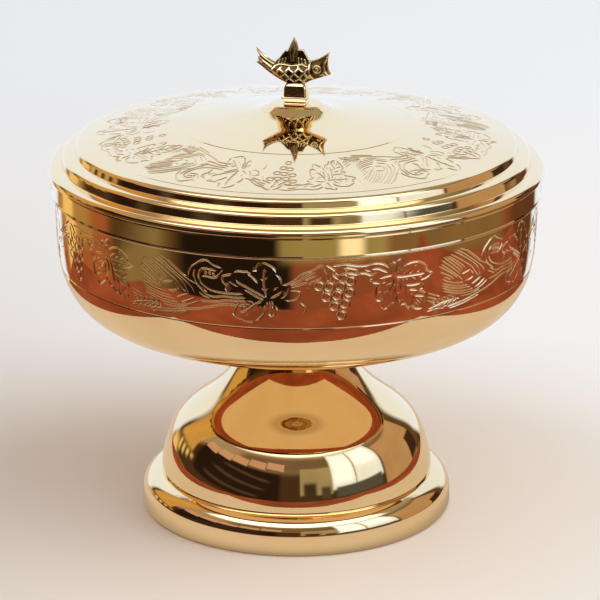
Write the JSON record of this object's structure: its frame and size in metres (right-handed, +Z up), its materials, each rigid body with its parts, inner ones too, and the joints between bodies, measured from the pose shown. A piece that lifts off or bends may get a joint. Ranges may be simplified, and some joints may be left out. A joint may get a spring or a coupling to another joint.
{
  "type": "covered ciborium",
  "caption": "Low footed bowl of polished gilt brass with a stepped lift-off lid, a fish finial, and engraved bands of vine, wheat and bird feathers on the lid and the bowl.",
  "frame": {"origin": "middle of the foot's resting face, on the floor", "axes": "+Z up along the vessel's axis, through foot, bowl and lid; the fish on the lid points its head 10 degrees from +X, towards -Y"},
  "size_m": [0.16, 0.16, 0.1578],
  "materials": {
    "gilt_spun": "spun sheet, mirror polished and gold plated, with fine polishing lines",
    "gilt_cast": "cast and chased, polished and gold plated, darker in the recesses",
    "raw_brass": "turned and brazed, unplated, satin",
    "steel_hardware": "turned stainless steel, satin"
  },
  "bodies": {
    "vessel": {"foot_base_ring": "gilt_spun", "foot_bell": "gilt_spun", "neck_collar": "gilt_cast", "bowl_boss": "raw_brass", "tie_stud": "steel_hardware", "clamp_washer": "steel_hardware", "foot_lock_washer": "steel_hardware", "foot_nut": "steel_hardware", "bowl_shell": "gilt_spun", "bowl_rim_ring": "gilt_spun"},
    "lid": {"lid_shell": "gilt_spun", "lid_skirt_band": "gilt_spun", "lid_boss": "gilt_cast", "lid_stud": "steel_hardware", "lid_washer": "steel_hardware", "lid_lock_washer": "steel_hardware", "lid_nut": "steel_hardware", "finial_foot": "gilt_cast", "finial_plate": "gilt_cast", "fish_finial": "gilt_cast"}
  },
  "joints": [
    {"name": "lid_lift", "type": "slide", "parent": "vessel", "child": "lid", "axis": [0, 0, 1], "range_m": [0, 0.07]}
  ]
}
